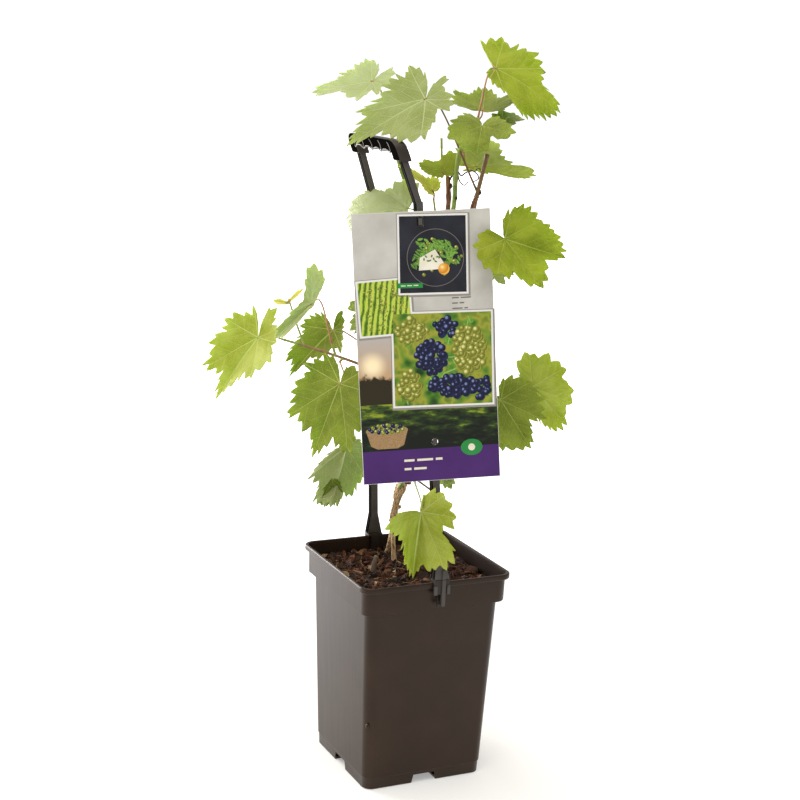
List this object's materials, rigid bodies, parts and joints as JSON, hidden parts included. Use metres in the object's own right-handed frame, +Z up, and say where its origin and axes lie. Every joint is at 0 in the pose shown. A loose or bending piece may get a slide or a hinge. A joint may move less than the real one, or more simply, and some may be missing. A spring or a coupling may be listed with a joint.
{
  "type": "potted grapevine",
  "caption": "Young grapevine with lobed leaves on slender canes in a square nursery pot, with a clip-on carrying handle and a picture card.",
  "frame": {"origin": "under the middle of the pot, on the plane of its flat underside", "axes": "+Z up, -Y the way the pot's clip and card side looks, +X to the right of that side"},
  "size_m": [0.3012, 0.1941, 0.6834],
  "materials": {
    "pot": "satin moulded polypropylene, dark brown-grey",
    "compost": "moist bark and coir compost",
    "handle": "satin moulded plastic, near black",
    "card": "printed plastic sheet, half gloss",
    "bark": "tan peeling bark",
    "cane": "brown ripened cane",
    "shoot": "green young shoot, waxy",
    "leaf": "living leaf, half matt and slightly quilted"
  },
  "bodies": {
    "root": {"pot": "pot", "compost": "compost", "handle_grip": "handle", "handle_leg_front_lower": "handle", "handle_leg_front_upper": "handle", "handle_clip_front": "handle", "handle_leg_back_lower": "handle", "handle_leg_back_upper": "handle", "handle_clip_back": "handle", "picture_card": "card", "trunk": "bark", "pruned_stub": "bark", "cane_left": "cane", "cane_right": "cane", "shoot_green": "shoot", "shoot_back": "shoot", "shoot_left": "shoot", "shoot_right": "shoot", "shoot_low": "shoot", "leaves_top_left": "leaf", "leaves_top_right": "leaf", "leaves_crown": "leaf", "leaves_young_top": "leaf", "leaves_young_left": "leaf", "leaves_back_left": "leaf", "leaves_inner": "leaf", "leaves_right_upper": "leaf", "leaves_right_lower": "leaf", "leaves_left_tip": "leaf", "leaves_left_sprout": "leaf", "leaves_left_upper": "leaf", "leaves_left_front": "leaf", "leaves_left_low": "leaf", "leaves_left_inner": "leaf", "leaves_low_front": "leaf", "leaves_low_right": "leaf", "leaves_back_upper": "leaf", "leaves_back_middle": "leaf", "leaves_back_lower": "leaf"}
  },
  "joints": []
}
